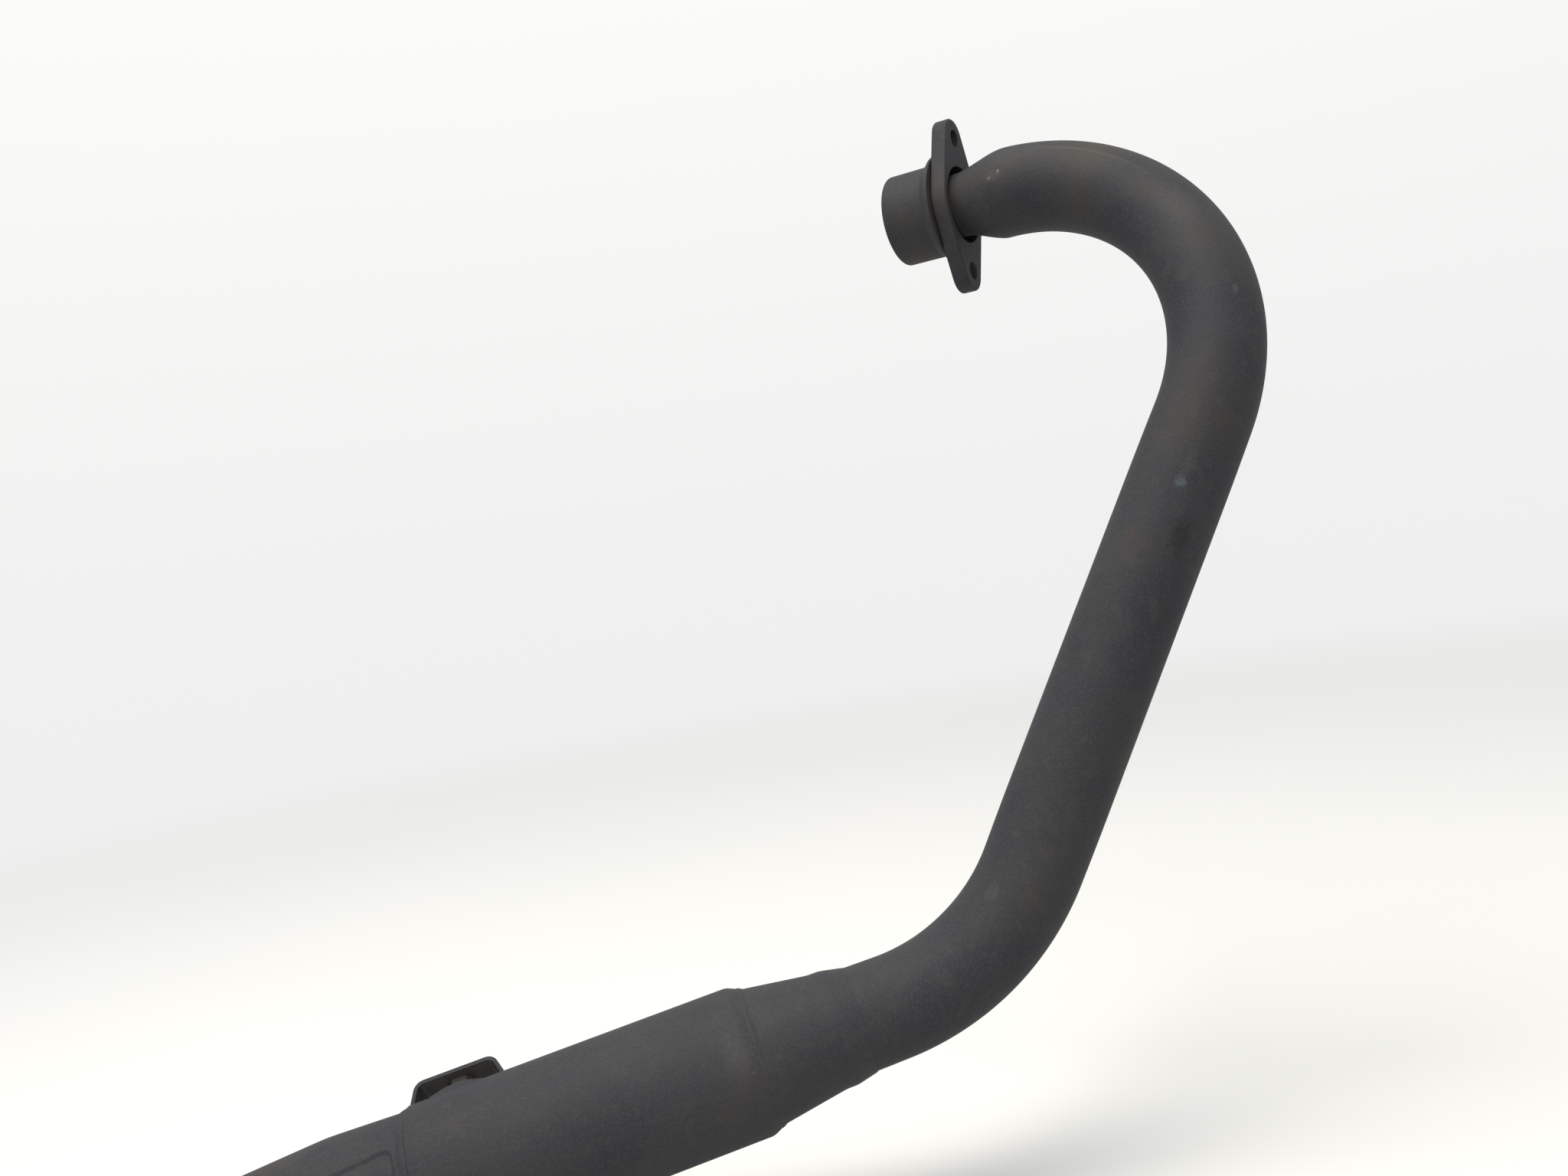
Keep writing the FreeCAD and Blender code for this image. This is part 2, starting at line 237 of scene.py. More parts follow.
def header_points(line, inset, angles):
    """Centre + r (cos a * across1 + sin a * across2).

    r grows from neck to tube over the swage, half evenly and half as a smooth step, and takes a little
    longer on the outer side of the first bend, where bending stretched the metal. In a bend r is less by
    the oval share of cos 2 (a - roll): the tube loses width in the plane of the bend and gains it across.
    """
    rows = np.vstack(line.rows)
    s, place, across1, across2 = rows[:, 0], rows[:, 1:4], rows[:, 7:10], rows[:, 10:13]
    stretch = SWAGE_STRETCH * (1 - np.cos(angles - FIRST_ROLL)) / 2
    t = np.clip((s + NECK_START - NECK_END)[:, None] / (SWAGE_END - NECK_END + stretch), 0, 1)
    radius = NECK_RADIUS + (PIPE_RADIUS - NECK_RADIUS) * (t + smooth_step(t)) / 2
    for start, end, roll in line.bends:
        begun = smooth_step((s - start + OVAL_RAMP) / (2 * OVAL_RAMP))
        share = begun * smooth_step((end - s + OVAL_RAMP) / (2 * OVAL_RAMP))
        radius = radius * (1 - BEND_OVAL * share[:, None] * np.cos(2 * (angles - roll)))
    radius = radius - inset
    ring = np.cos(angles)[:, None] * across1[:, None] + np.sin(angles)[:, None] * across2[:, None]
    return place[:, None] + radius[..., None] * ring, s


around_angles = np.linspace(0, 2 * np.pi, AROUND, endpoint=False)
outside, header_tape = header_points(header_line, 0, around_angles)
inside, _ = header_points(header_line, PIPE_WALL, around_angles)
header = ring_grid_piece(
    "header_tube",
    np.concatenate([outside, inside[::-1]]),
    np.concatenate([header_tape, header_tape[::-1], header_tape[:1]]),
    np.linspace(0, 2 * np.pi * PIPE_RADIUS, AROUND + 1),
    ["header_pipe"],
)

# %% [markdown]
# ## Turned and drawn pieces
# The spigot, the inlet cone, the can, the end cap and the tail pipe are all round, so each is an outline
# that is swung about an axis. A pressed edge is never sharp. A bevel modifier could round the edges, but
# here the outline is drawn with plain corners and one helper rounds each of them, which keeps the sizes
# readable.

# %% Rounded outlines and lathe
ARC_STEPS, LATHE_COUNT = 6, 144
SIDE_SHARES = (0.04, 0.3, 0.7, 0.96)


def rounded_outline(corners, radii, steps=ARC_STEPS):
    """Closed outline of (x, r) corners with an arc in each.

    The arc touches both sides at radius * tan(turn / 2) from the corner. Its points are a quadratic curve
    between those two places with the corner as its handle; the handle weighs the sine of half the angle,
    which makes the curve a true arc. A few more points lie on each side, close to the arcs, so that the
    shading of a long flat side stays flat.
    """
    corners = np.array(corners, float)
    before = np.roll(corners, 1, 0) - corners
    after = np.roll(corners, -1, 0) - corners
    before_size = np.linalg.norm(before, axis=1, keepdims=True)
    after_size = np.linalg.norm(after, axis=1, keepdims=True)
    cosine = np.sum(before / before_size * after / after_size, 1, keepdims=True)
    reach = np.array(radii, float)[:, None] / np.tan(np.arccos(np.clip(cosine, -1, 1)) / 2)
    start = corners + before / before_size * reach
    end = corners + after / after_size * reach
    t = np.linspace(0, 1, steps)[None, :, None]
    handle = 2 * t * (1 - t) * np.sqrt((1 - cosine) / 2)[:, None]
    arcs = start[:, None] * (1 - t) ** 2 + corners[:, None] * handle + end[:, None] * t ** 2
    arcs = arcs / ((1 - t) ** 2 + handle + t ** 2)
    share = np.array(SIDE_SHARES)[None, :, None]
    sides = end[:, None] * (1 - share) + np.roll(start, -1, 0)[:, None] * share
    return np.concatenate([arcs, sides], 1).reshape(-1, 2)


def lathe_piece(name, outline, origin, axis, up, stands_for=(), count=LATHE_COUNT):
    """Origin + x * axis + r (cos a * side + sin a * up), where side is up x axis."""
    axis, up = np.array(axis, float), np.array(up, float)
    angles = np.linspace(0, 2 * np.pi, count, endpoint=False)[:, None]
    ring = np.cos(angles) * np.cross(up, axis) + np.sin(angles) * up
    points = origin + outline[:, :1, None] * axis + outline[:, 1:, None] * ring
    widest = outline[:, 1].max()
    along = np.append(outline[:, 0], outline[0, 0])
    return ring_grid_piece(name, points, along, np.linspace(0, 2 * np.pi * widest, count + 1), stands_for)


print("each corner of an outline is drawn with", ARC_STEPS + len(SIDE_SHARES), "points")

# %% [markdown]
# The spigot is turned from thick tube. It slides into the exhaust port up to its sloped shoulder, which
# presses on the gasket. The neck of the header sits in a socket in its back, and the loose flange hangs
# on the neck right behind it.

# %% Spigot
SEAT = -0.0001
SHOULDER_RADIUS, SHOULDER_RIM = 0.0265, 0.0015
SPIGOT_RADIUS, SPIGOT_LENGTH = 0.0225, 0.0215
SLIP = 0.00015
SPIGOT_ROUNDING = [0.0006, 0.0014, 0.0020, 0.0008, 0.0004, 0.0002, 0.0002, 0.0002]

rim = SEAT - SHOULDER_RIM
slope = rim - (SHOULDER_RADIUS - SPIGOT_RADIUS)
spigot_front = slope - SPIGOT_LENGTH
gas_radius = NECK_RADIUS - PIPE_WALL
spigot_corners = [
    (spigot_front, gas_radius),
    (spigot_front, SPIGOT_RADIUS),
    (slope, SPIGOT_RADIUS),
    (rim, SHOULDER_RADIUS),
    (SEAT, SHOULDER_RADIUS),
    (SEAT, NECK_RADIUS + SLIP),
    (NECK_START, NECK_RADIUS + SLIP),
    (NECK_START, gas_radius),
]
spigot = lathe_piece(
    "port_sleeve",
    rounded_outline(spigot_corners, SPIGOT_ROUNDING),
    np.zeros(3),
    X_AXIS,
    Z_AXIS,
    ["port_spigot"],
)

# %% [markdown]
# The rest of the muffler lies along one straight axis that starts where the collar grips the header. The
# cone widens from the collar to the can. The collar's front edge has been dressed down to the pipe, so that
# only a slight swelling is left there, and large roundings make the cone flow as pressed metal does.

# %% Cone
COLLAR_WALL, COLLAR_LENGTH = 0.002, 0.014
COLLAR_EDGE, COLLAR_DRESSED = 0.0001, 0.009
CONE_LENGTH, SKIRT_LENGTH = 0.034, 0.010
CAN_RADIUS, CAN_WALL = 0.03015, 0.0015
CONE_ROUNDING = [0.00004, 0.00004, 0.016, 0.020, 0.012, 0.0004, 0.0004, 0.012, 0.030]

can_up = Z_AXIS - can_axis * can_axis[2]
can_up = can_up / np.linalg.norm(can_up)
can_place = (collar_front, can_axis, can_up)
collar_bore = PIPE_RADIUS + SLIP
skirt_radius = CAN_RADIUS - CAN_WALL - SLIP
cone_end = COLLAR_LENGTH + CONE_LENGTH
cone_corners = [
    (0, collar_bore),
    (0, collar_bore + COLLAR_EDGE),
    (COLLAR_DRESSED, collar_bore + COLLAR_WALL),
    (COLLAR_LENGTH, collar_bore + COLLAR_WALL),
    (cone_end, skirt_radius),
    (cone_end + SKIRT_LENGTH, skirt_radius),
    (cone_end + SKIRT_LENGTH, skirt_radius - COLLAR_WALL),
    (cone_end, skirt_radius - COLLAR_WALL),
    (COLLAR_LENGTH, collar_bore),
]
cone = lathe_piece("cone", rounded_outline(cone_corners, CONE_ROUNDING), *can_place, ["inlet_cone"])

# %% [markdown]
# The can is a plain drum. Its front edge is rolled in over the cone. Its back end is cut straight, and the
# rear shell sits in it.

# %% Can
CAN_LENGTH = 0.138
LIP_OVERLAP, LIP_DEPTH, LIP_ROLL, LIP_EDGE = 0.0045, 0.002, 0.0038, 0.0004
CAN_ROUNDING = [0.0001, 0.0003, 0.007, 0.0011, 0.0003, 0.0004, 0.0001]

can_start = cone_end - LIP_OVERLAP
can_end = can_start + CAN_LENGTH
lip_bore = CAN_RADIUS - LIP_DEPTH
can_corners = [
    (can_start, lip_bore),
    (can_start, lip_bore + LIP_EDGE),
    (can_start + LIP_ROLL, CAN_RADIUS),
    (can_end, CAN_RADIUS),
    (can_end, CAN_RADIUS - CAN_WALL),
    (can_start + CAN_WALL, CAN_RADIUS - CAN_WALL),
    (can_start + CAN_WALL, lip_bore),
]
can = lathe_piece("can", rounded_outline(can_corners, CAN_ROUNDING), *can_place, ["can_shell"])

# %% [markdown]
# ## The rear shell and its stamped panel
# The rear shell leaves the can, swells for two fingers' width and then tapers to the end. Both runs are
# straight, and the metal is rounded where they meet, so the radius is the smaller of two straight lines
# with a soft corner. A long panel is pressed into the outer side. A cut would leave sharp walls, and a
# press leaves soft edges, so the distance to a rounded, narrowing rectangle that is drawn on the shell is
# turned into a depth.

# %% Shape of the rear shell
SHELL_LENGTH, SHELL_END_RADIUS, CAP_RIM = 0.190, 0.020, 0.009
CROWN_RADIUS, CROWN_LENGTH, CROWN_SOFTNESS = 0.0296, 0.033, 0.00012
PANEL_GAP, PANEL_LENGTH, PANEL_HEIGHT, PANEL_END_HEIGHT = 0.0045, 0.120, 0.046, 0.030
PANEL_DEPTH, PANEL_CORNER, PANEL_SLOPE = 0.0010, 0.004, 0.0014
PANEL_ROLL = math.radians(4.0)

shell_front_radius = CAN_RADIUS - CAN_WALL - SLIP
crown_at = can_end + CROWN_LENGTH
shell_end = can_end + SHELL_LENGTH
taper_end = shell_end - CAP_RIM
shell_swell = (CROWN_RADIUS - shell_front_radius) / CROWN_LENGTH
shell_fall = (CROWN_RADIUS - SHELL_END_RADIUS) / (taper_end - crown_at)


def shell_radius(station):
    """Soft minimum of the swelling and the tapering line.

    It is their mean less the root of (half their gap)^2 + softness^2. Before the can's end and under the
    cap the radius stays level.
    """
    swell = shell_front_radius + shell_swell * (station - can_end)
    taper = CROWN_RADIUS - shell_fall * (station - crown_at)
    soft = (swell + taper) / 2 - np.hypot((swell - taper) / 2, CROWN_SOFTNESS)
    return np.where(station < can_end, shell_front_radius, np.maximum(soft, SHELL_END_RADIUS))


def panel_depth(station, angle):
    """Depth times a smooth step of the distance inside a rounded rectangle that narrows to the back.

    The rectangle is measured along the shell and, across it, as radius * sin(angle), so it is flat seen
    from the side. Its distance is |max(q, 0)| + min(max(q), 0) - corner, with q the overshoot each way.
    """
    share = (station - can_end - PANEL_GAP) / PANEL_LENGTH
    half_height = (PANEL_HEIGHT + share * (PANEL_END_HEIGHT - PANEL_HEIGHT)) / 2
    over_x = np.abs(share - 0.5) * PANEL_LENGTH - PANEL_LENGTH / 2 + PANEL_CORNER
    over_z = np.abs(shell_radius(station) * np.sin(angle - PANEL_ROLL)) - half_height + PANEL_CORNER
    outer = np.hypot(np.maximum(over_x, 0), np.maximum(over_z, 0))
    distance = outer + np.minimum(np.maximum(over_x, over_z), 0) - PANEL_CORNER
    facing = np.cos(angle - PANEL_ROLL) > 0
    return np.where(facing, PANEL_DEPTH * smooth_step(-distance / PANEL_SLOPE), 0)


print("the shell swells to", round(1000 * float(shell_radius(crown_at)), 1), "mm in radius")

# %% [markdown]
# The skin is a grid again. Its rings lie close together at the two ends of the panel, where the metal
# changes height, and further apart where it is plain.

# %% Rear shell
SHELL_WALL, SHELL_OVERLAP, SHELL_AROUND = 0.0012, 0.010, 448
EDGE_ZONE, EDGE_MARGIN = 0.010, 0.001
FRONT_RINGS, EDGE_RINGS, PANEL_RINGS, BACK_RINGS = 7, 26, 34, 13

panel_front = can_end + PANEL_GAP
panel_back = panel_front + PANEL_LENGTH
shell_stations = np.concatenate(
    [
        np.linspace(can_end - SHELL_OVERLAP, panel_front - EDGE_MARGIN, FRONT_RINGS, endpoint=False),
        np.linspace(panel_front - EDGE_MARGIN, panel_front + EDGE_ZONE, EDGE_RINGS, endpoint=False),
        np.linspace(panel_front + EDGE_ZONE, panel_back - EDGE_ZONE, PANEL_RINGS, endpoint=False),
        np.linspace(panel_back - EDGE_ZONE, panel_back + EDGE_MARGIN, EDGE_RINGS, endpoint=False),
        np.linspace(panel_back + EDGE_MARGIN, shell_end, BACK_RINGS),
    ]
)
shell_angles = np.linspace(0, 2 * np.pi, SHELL_AROUND, endpoint=False)
shell_skin = shell_radius(shell_stations)[:, None] - panel_depth(shell_stations[:, None], shell_angles)
can_side = np.cross(can_up, can_axis)
shell_ring = np.cos(shell_angles)[:, None] * can_side + np.sin(shell_angles)[:, None] * can_up
shell_line = (collar_front + shell_stations[:, None] * can_axis)[:, None]
shell_outside = shell_line + shell_skin[..., None] * shell_ring
shell_inside = shell_line + (shell_skin - SHELL_WALL)[..., None] * shell_ring
rear_shell = ring_grid_piece(
    "stamped_shell",
    np.concatenate([shell_outside, shell_inside[::-1]]),
    np.concatenate([shell_stations, shell_stations[::-1], shell_stations[:1]]),
    np.linspace(0, 2 * np.pi * CROWN_RADIUS, SHELL_AROUND + 1),
    ["rear_shell"],
)

# %% [markdown]
# ## End cap and tail pipe
# The picture doesn't show the back of the muffler, so it is finished plainly: a dished cap that slips over
# the shell, and a straight tail pipe through its middle. Both are swung outlines, like the can.

# %% End cap and tail pipe
CAP_WALL, CAP_DEPTH, CAP_STEPS = 0.0015, 0.006, 10
CAP_ROUNDING = [0.0003, 0.0007, CAP_DEPTH, 0.0004, 0.0004, CAP_DEPTH - CAP_WALL]
TAIL_RADIUS, TAIL_WALL, TAIL_REACH, TAIL_COUNT = 0.0127, 0.0015, 0.034, 96
TAIL_ROUNDING = [0.0003, 0.0003, 0.0006, 0.0006]
REAR_BAFFLE_INSET, TAIL_INSIDE = 0.060, 0.012

cap_bore = SHELL_END_RADIUS + SLIP
cap_face = shell_end + CAP_DEPTH
cap_corners = [
    (taper_end, cap_bore),
    (taper_end, cap_bore + CAP_WALL),
    (cap_face, cap_bore + CAP_WALL),
    (cap_face, TAIL_RADIUS + SLIP),
    (cap_face - CAP_WALL, TAIL_RADIUS + SLIP),
    (cap_face - CAP_WALL, cap_bore),
]
cap_outline = rounded_outline(cap_corners, CAP_ROUNDING, CAP_STEPS)
end_cap = lathe_piece("dished_cap", cap_outline, *can_place, ["end_cap"])

tail_start = shell_end - REAR_BAFFLE_INSET - TAIL_INSIDE
tail_end = cap_face + TAIL_REACH
tail_corners = [
    (tail_start, TAIL_RADIUS - TAIL_WALL),
    (tail_start, TAIL_RADIUS),
    (tail_end, TAIL_RADIUS),
    (tail_end, TAIL_RADIUS - TAIL_WALL),
]
tail_outline = rounded_outline(tail_corners, TAIL_ROUNDING)
tail = lathe_piece("outlet_tube", tail_outline, *can_place, ["tail_pipe"], TAIL_COUNT)

# %% [markdown]
# ## Weld beads
# The pieces are held together by welding. A bead is a row of small puddles, each frozen a little behind
# the next, so it is a low rippled ridge that runs out into the metal on both sides. Its width wanders
# slightly, because a hand or a worn jig guided it, and paint has filled most of its ripples. A bump in the
# paint could hint at it, but it would leave the gap at the joint open, so each bead is a mesh.

# %% Beads
RIPPLE_PITCH, RIPPLE_POINTS, BEAD_SIDES = 0.0022, 6, 24
BEAD_HEIGHT, BEAD_ROOT, BEAD_BELL = 0.30, 0.25, 4
BEAD_RIPPLE, BEAD_WANDER, SWELL_WAVES = 0.02, 0.07, (3, 7, 13)


def bead_loop(name, loop, length, size, seed, lean=0.0, pile=0.0, wander=BEAD_WANDER):
    """A rippled bead along a closed path on the can.

    loop gives, for a turn from 0 to 2 pi, the station, the distance from the axis and the angle about it.
    Each point of the bead is path + b (h * outward + sin t * sideways). On top h is the height times
    cos(t)^4, a bell that runs out into the metal on both sides, and below it is the root times cos t.
    Sideways drops by the lean, where the metal under the bead widens along the can. Half the width is
    b = size * (1 + ripple * cos(puddles * turn) + wander * swell), with the swell a sum of three waves of
    random phase. A pile makes the bead higher by sin(turn)^2.
    """
    ripples = int(length / RIPPLE_PITCH)
    turn = np.linspace(0, 2 * np.pi, ripples * RIPPLE_POINTS, endpoint=False)
    station, distance, angle = np.broadcast_arrays(*loop(turn), turn)[:3]
    outward = np.cos(angle)[:, None] * can_side + np.sin(angle)[:, None] * can_up
    path = collar_front + station[:, None] * can_axis + distance[:, None] * outward
    heading = np.roll(path, -1, 0) - np.roll(path, 1, 0)
    across = np.cross(heading / np.linalg.norm(heading, axis=1, keepdims=True), outward)
    phases = np.random.default_rng(seed).uniform(0, 2 * np.pi, len(SWELL_WAVES))
    swell = sum(np.sin(waves * turn + phase) for waves, phase in zip(SWELL_WAVES, phases))
    bead = size * (1 + BEAD_RIPPLE * np.cos(ripples * turn) + wander * swell)
    t = np.linspace(0, 2 * np.pi, BEAD_SIDES, endpoint=False)[:, None]
    top = BEAD_HEIGHT * (1 + pile * np.sin(turn) ** 2)[:, None, None]
    lift = np.where(np.cos(t) > 0, top * np.cos(t) ** BEAD_BELL, BEAD_ROOT * np.cos(t))
    section = lift * outward[:, None] + np.sin(t) * (across - lean * outward)[:, None]
    points = path[:, None] + bead[:, None, None] * section
    along = np.linspace(0, length, len(turn) + 1)
    return ring_grid_piece(name, points, along, np.linspace(0, 2 * np.pi * size, BEAD_SIDES + 1))


print("puddles in 100 mm of bead:", int(0.1 / RIPPLE_PITCH))

# %% [markdown]
# Five seams run right round the muffler, one at each edge where a piece goes into the next. Such a seam is
# a circle, so only its place, its radius and the slope of the metal under it are needed.

# %% Beads round the muffler
SEAM_SIZE, SEAM_STEP, SEAM_SINK = 0.0026, 0.0005, 0.00015
DRESSED_SINK, SHELL_SEAM_SIZE = 0.0006, 0.0036


def round_seam(name, edge, side, radius, seed, lean=0.0, size=SEAM_SIZE):
    """A ring just outside a piece's edge, sunk in the metal that comes out of it.

    side is -1 in front of the edge and 1 behind it; lean is how fast that metal widens along the can.
    """
    station, distance = edge + side * SEAM_STEP, radius - SEAM_SINK
    length = 2 * np.pi * distance
    return bead_loop(name, lambda turn: (station, distance, turn), length, size, seed, lean)


cone_slope = (skirt_radius - collar_bore - COLLAR_WALL) / CONE_LENGTH
beads = [
    round_seam("collar_bead", 0, -1, PIPE_RADIUS - DRESSED_SINK, 1),
    round_seam("can_bead", can_start, -1, skirt_radius - cone_slope * LIP_OVERLAP, 2, cone_slope),
    round_seam("shell_bead", can_end, 1, shell_front_radius, 3, shell_swell, SHELL_SEAM_SIZE),
    round_seam("cap_bead", taper_end, -1, SHELL_END_RADIUS, 4, -shell_fall),
    round_seam("outlet_bead", cap_face, 1, TAIL_RADIUS, 5),
]

# %% [markdown]
# The bracket stands on the far side of the can, turned up from level, on two legs that lean apart. A bead
# runs right round each foot, so its path is a long thin oval laid on the can.

# %% Beads at the bracket
BRACKET_LENGTH, BRACKET_WIDTH, STRIP = 0.033, 0.020, 0.0016
BRACKET_STAND_OFF, BRACKET_INSET = 0.0058, 0.0003
BRACKET_SPLAY, BRACKET_TURN = math.radians(20.0), math.radians(45.0)
FOOT_SEAM = 0.0008

bracket_lean = math.tan(BRACKET_SPLAY)
foot_reach = BRACKET_LENGTH / 2 + (BRACKET_STAND_OFF + STRIP) * bracket_lean
bracket_middle = can_end - BRACKET_INSET - foot_reach
bracket_angle = math.pi - BRACKET_TURN
foot_thickness = STRIP / math.cos(BRACKET_SPLAY)


def foot_bead(name, station, seed):
    """An oval round a foot.

    It is cos(turn) of half the foot, less half a bead, along the can, and sin(turn) of half its width.
    """

    def round_foot(turn):
        sideways = np.sin(turn) * BRACKET_WIDTH / 2
        lengthways = np.cos(turn) * (foot_thickness - FOOT_SEAM) / 2
        return station + lengthways, CAN_RADIUS, bracket_angle + sideways / CAN_RADIUS

    return bead_loop(name, round_foot, 2 * BRACKET_WIDTH, FOOT_SEAM, seed)


foot_middle = foot_reach - foot_thickness / 2
beads.append(foot_bead("front_foot_bead", bracket_middle - foot_middle, 6))
beads.append(foot_bead("rear_foot_bead", bracket_middle + foot_middle, 7))

# %% [markdown]
# On the near side a shorter and heavier run of weld lies beside the strip and is piled up in the middle. It
# goes there and back, so the same helper draws it as one low hump.

# %% Pile of weld beside the bracket
RUN_SIZE, RUN_LENGTH, RUN_STEP, RUN_SINK = 0.0036, 0.018, 0.0024, 0.0003
RUN_PILE, RUN_WANDER = 1.2, 0.01


def weld_run(turn):
    """There and back along the strip's near edge.

    It is cos(turn) of half the run along the can, and sin(turn) of a quarter of the bead's size across it.
    """
    station = bracket_middle + np.cos(turn) * RUN_LENGTH / 2
    sideways = BRACKET_WIDTH / 2 + RUN_STEP + np.sin(turn) * RUN_SIZE / 4
    return station, CAN_RADIUS - RUN_SINK, bracket_angle - sideways / CAN_RADIUS


beads.append(
    bead_loop("bracket_weld", weld_run, 2 * RUN_LENGTH, RUN_SIZE, 8, pile=RUN_PILE, wander=RUN_WANDER)
)

# %% [markdown]
# ## Shader maths as plain expressions
# A finish is a small network of nodes. It could be drawn by hand in the shader editor, but wires between
# nodes are easier to read as arithmetic, so one class wraps an output socket and answers to + - * / with
# Math nodes.


# %% Wires
class Wire:
    """An output socket; arithmetic with numbers or other wires adds Math nodes."""

    def __init__(self, network, socket):
        self.network = network
        self.socket = socket

    def maths(self, operation, first, second):
        return self.network.node("ShaderNodeMath", {"operation": operation}, {0: first, 1: second})

    def __add__(self, other):
        return self.maths("ADD", self, other)

    def __sub__(self, other):
        return self.maths("SUBTRACT", self, other)

    def __rsub__(self, other):
        return self.maths("SUBTRACT", other, self)

    def __mul__(self, other):
        return self.maths("MULTIPLY", self, other)

    def __truediv__(self, other):
        return self.maths("DIVIDE", self, other)

    def __rtruediv__(self, other):
        return self.maths("DIVIDE", other, self)

    __radd__ = __add__
    __rmul__ = __mul__


print("a wire takes + - * / with a number on either side")

# %% [markdown]
# Every other node comes from one method that makes the node, sets its options and then joins its inputs. A
# finish is such a network round the shader of one material.


# %% Networks and finishes
class Network:
    """A tree of nodes, and the ways to add to it."""

    def __init__(self, tree):
        self.tree = tree

    def node(self, kind, settings, inputs, output=0):
        """One node: its settings first, then its inputs, each a number, a tuple or a wire."""
        made = self.tree.nodes.new(kind)
        for key, value in settings.items():
            setattr(made, key, value)
        for key, value in inputs.items():
            self.feed(made.inputs[key], value)
        return Wire(self, made.outputs[output])

    def feed(self, socket, value):
        if isinstance(value, Wire):
            self.tree.links.new(value.socket, socket)
        else:
            socket.default_value = value

    def place(self, kind="Object"):
        return self.node("ShaderNodeTexCoord", {}, {}, kind)

    def part(self, vector, axis):
        """One number of a vector: X, Y or Z."""
        return self.node("ShaderNodeSeparateXYZ", {}, {0: vector}, axis)

    def tape(self, axis):
        """The stored length along the metal, X, or around it, Y."""
        return self.part(self.node("ShaderNodeUVMap", {"uv_map": TAPE}, {}), axis)

    def noise(self, scale, detail=3.0, rough=0.55):
        inputs = {"Vector": self.place(), "Scale": scale, "Detail": detail, "Roughness": rough}
        return self.node("ShaderNodeTexNoise", {}, inputs)

    def step(self, value, low, high):
        """0 below low, 1 above high, and a smooth step between."""
        settings = {"interpolation_type": "SMOOTHSTEP"}
        return self.node("ShaderNodeMapRange", settings, {0: value, 1: low, 2: high, 3: 0.0, 4: 1.0})

    def mix(self, share, first, second):
        return self.node("ShaderNodeMix", {"data_type": "RGBA"}, {0: share, 6: first, 7: second}, 2)


class Finish(Network):
    """The network of a material with one Principled shader."""

    def __init__(self, name, constants):
        self.material = bpy.data.materials.new(name)
        self.material.use_nodes = True
        super().__init__(self.material.node_tree)
        self.shader = self.tree.nodes["Principled BSDF"]
        for key, value in constants.items():
            self.shade(key, value)
        print("finish:", name)

    def shade(self, name, value):
        self.feed(self.shader.inputs[name], value)


print("helpers:", Network.__name__, "and", Finish.__name__)

# %% [markdown]
# ## Worn black heat paint
# The muffler was sprayed with thin matt black. It has faded in clouds from warm to cold grey, more so on
# the can than on the header, and the spray left a fine grain with paler peaks. A picture wrapped round the
# part would stretch at the bends and bring its own light with it, so the paint is mixed from noises that
# fill the space around the part. Marks, dust and some painted light come on top, where a piece has them.

# %% Paint
PAINT_DARK, PAINT_FADED = (0.014, 0.015, 0.020, 1), (0.025, 0.025, 0.029, 1)
PAINT_WARM, BLOTCH = (0.036, 0.031, 0.023, 1), (0.044, 0.042, 0.040, 1)
GRAIN_PALE = (0.051, 0.050, 0.053, 1)
CLOUD_NOISE, CLOUD_RANGE = (9.0,), (0.34, 0.68)
WARM_NOISE, WARM_RANGE, WARM_SHARE = (17.0, 2.0), (0.48, 0.78), 0.6
BLOTCH_NOISE, BLOTCH_RANGE, BLOTCH_SHARE = (150.0, 5.0, 0.7), (0.48, 0.72), 0.35
GRAIN_NOISE, GRAIN_RANGE, GRAIN_SHARE = (1100.0, 3.0, 0.65), (0.42, 0.75), 0.4
ROUGH_LEAST, ROUGH_SHARE = 0.54, 0.10
PAINT_GLOSS = {"Specular IOR Level": 0.2}
GRAIN_BUMP = {"Strength": 0.35, "Distance": 0.0003}
MUFFLER_FADE = 0.16


def heat_paint(name, fade, fade_run=None, top=None):
    """Three noises, from slow to quick, mix the greys; a fine one speckles and roughens them.

    The fading is even, or grows over a run of the tape if one is given. top is a function that lays marks,
    or dust with painted light, over the colour.
    """
    paint = Finish(name, PAINT_GLOSS)
    cloud = paint.noise(*CLOUD_NOISE)
    warmth = paint.noise(*WARM_NOISE)
    blotch = paint.noise(*BLOTCH_NOISE)
    grain = paint.noise(*GRAIN_NOISE)
    if fade_run:
        fade = fade * paint.step(paint.tape("X"), *fade_run)
    colour = paint.mix(paint.step(cloud, *CLOUD_RANGE), PAINT_DARK, PAINT_FADED)
    colour = paint.mix(paint.step(warmth, *WARM_RANGE) * WARM_SHARE, colour, PAINT_WARM)
    colour = paint.mix(paint.step(blotch, *BLOTCH_RANGE) * BLOTCH_SHARE, colour, BLOTCH)
    colour = paint.mix(fade + paint.step(grain, *GRAIN_RANGE) * GRAIN_SHARE, colour, GRAIN_PALE)
    if top:
        colour = top(paint, colour)
    paint.shade("Base Color", colour)
    paint.shade("Roughness", ROUGH_LEAST + ROUGH_SHARE * cloud + ROUGH_SHARE * blotch + ROUGH_SHARE * grain)
    paint.shade("Normal", paint.node("ShaderNodeBump", {}, {**GRAIN_BUMP, "Height": grain}))
    return paint.material


plain_paint = heat_paint("worn_paint", MUFFLER_FADE)
port_paint = heat_paint("worn_paint_port", 0.0)
